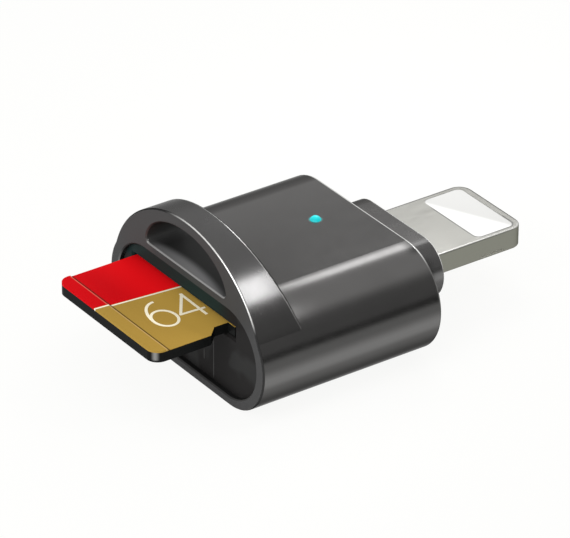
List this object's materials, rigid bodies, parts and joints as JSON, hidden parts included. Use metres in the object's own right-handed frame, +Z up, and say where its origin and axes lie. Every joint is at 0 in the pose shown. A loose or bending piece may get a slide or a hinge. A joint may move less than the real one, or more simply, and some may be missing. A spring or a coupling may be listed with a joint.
{
  "type": "microsd card reader",
  "caption": "Pocket memory card reader: metal body with a lanyard loop, a card held in its slot, a status light and a flat phone plug.",
  "frame": {"origin": "centre of the body's flat base, on the surface it rests on", "axes": "+X from the card slot towards the plug, +Y across the body, +Z up through the lanyard loop"},
  "size_m": [0.0296, 0.017, 0.0109],
  "materials": {
    "gunmetal": "satin gunmetal plating",
    "black_gloss": "glossy",
    "plug_metal": "satin nickel plating",
    "white_plastic": "glossy",
    "board_laminate": "solder mask",
    "carrier_plastic": "moulded",
    "socket_plastic": "moulded",
    "spring_steel": "stamped",
    "led_resin": "clear resin",
    "light_pipe": "clear, lit",
    "chip_plastic": "moulded",
    "card_plastic": "satin, printed label on top",
    "gold": "gold plated",
    "capacitor_ceramic": "matte",
    "resistor_ceramic": "matte"
  },
  "bodies": {
    "reader": {"housing": "gunmetal", "end_cap": "gunmetal", "slot_bezel": "black_gloss", "plug_shell": "plug_metal", "plug_insert": "white_plastic", "circuit_board": "board_laminate", "lower_carrier": "carrier_plastic", "upper_carrier": "carrier_plastic", "socket_base": "socket_plastic", "socket_shell": "spring_steel", "status_led": "led_resin", "light_pipe": "light_pipe", "controller_chip": "chip_plastic", "crystal": "spring_steel", "power_regulator": "chip_plastic", "plug_contact_1": "gold", "plug_contact_2": "gold", "plug_contact_3": "gold", "plug_contact_4": "gold", "plug_contact_5": "gold", "plug_contact_6": "gold", "plug_contact_7": "gold", "plug_contact_8": "gold", "socket_contact_1": "gold", "socket_contact_2": "gold", "socket_contact_3": "gold", "socket_contact_4": "gold", "socket_contact_5": "gold", "socket_contact_6": "gold", "socket_contact_7": "gold", "socket_contact_8": "gold", "capacitor_1": "capacitor_ceramic", "capacitor_2": "capacitor_ceramic", "capacitor_3": "capacitor_ceramic", "resistor_1": "resistor_ceramic", "resistor_2": "resistor_ceramic", "resistor_3": "resistor_ceramic"},
    "card": {"card_body": "card_plastic", "card_contact_1": "gold", "card_contact_2": "gold", "card_contact_3": "gold", "card_contact_4": "gold", "card_contact_5": "gold", "card_contact_6": "gold", "card_contact_7": "gold", "card_contact_8": "gold"}
  },
  "joints": [
    {"name": "card_slide", "type": "slide", "parent": "reader", "child": "card", "axis": [-1, 0, 0], "range_m": [0, 0.0085]}
  ]
}
